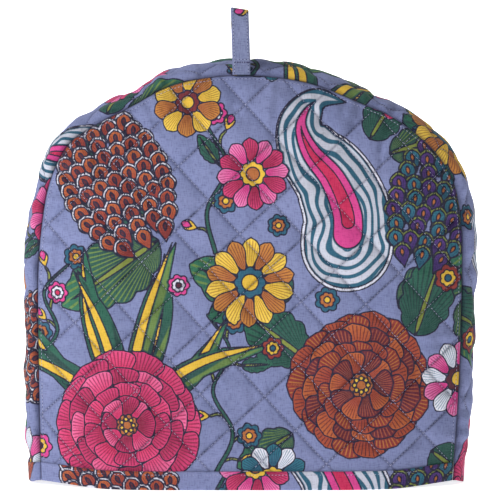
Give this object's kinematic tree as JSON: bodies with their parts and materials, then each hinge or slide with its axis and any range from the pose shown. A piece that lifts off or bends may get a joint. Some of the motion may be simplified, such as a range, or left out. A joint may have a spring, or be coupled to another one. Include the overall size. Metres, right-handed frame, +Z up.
{
  "type": "tea cosy",
  "caption": "Arched quilted cloth cover for a teapot, hollow and open below, with a padded band between its panels, a bound hem and a hanging loop at the crown.",
  "frame": {"origin": "on the surface that the hem stands on, under the middle of the cosy", "axes": "+X to the right as seen from the front, +Y from the front panel to the back panel, +Z up to the hanging loop"},
  "size_m": [0.3272, 0.1536, 0.3399],
  "materials": {
    "front_cloth": "matt printed quilted cotton",
    "back_cloth": "matt printed quilted cotton",
    "gusset_cloth": "matt printed quilted cotton",
    "binding_cloth": "matt printed cotton, folded strip",
    "loop_cloth": "matt printed cotton, folded and stitched along both edges"
  },
  "bodies": {
    "root": {"front_panel": "front_cloth", "back_panel": "back_cloth", "gusset": "gusset_cloth", "binding_front": "binding_cloth", "binding_back": "binding_cloth", "binding_gusset_left": "binding_cloth", "hanging_loop": "loop_cloth"}
  },
  "joints": []
}
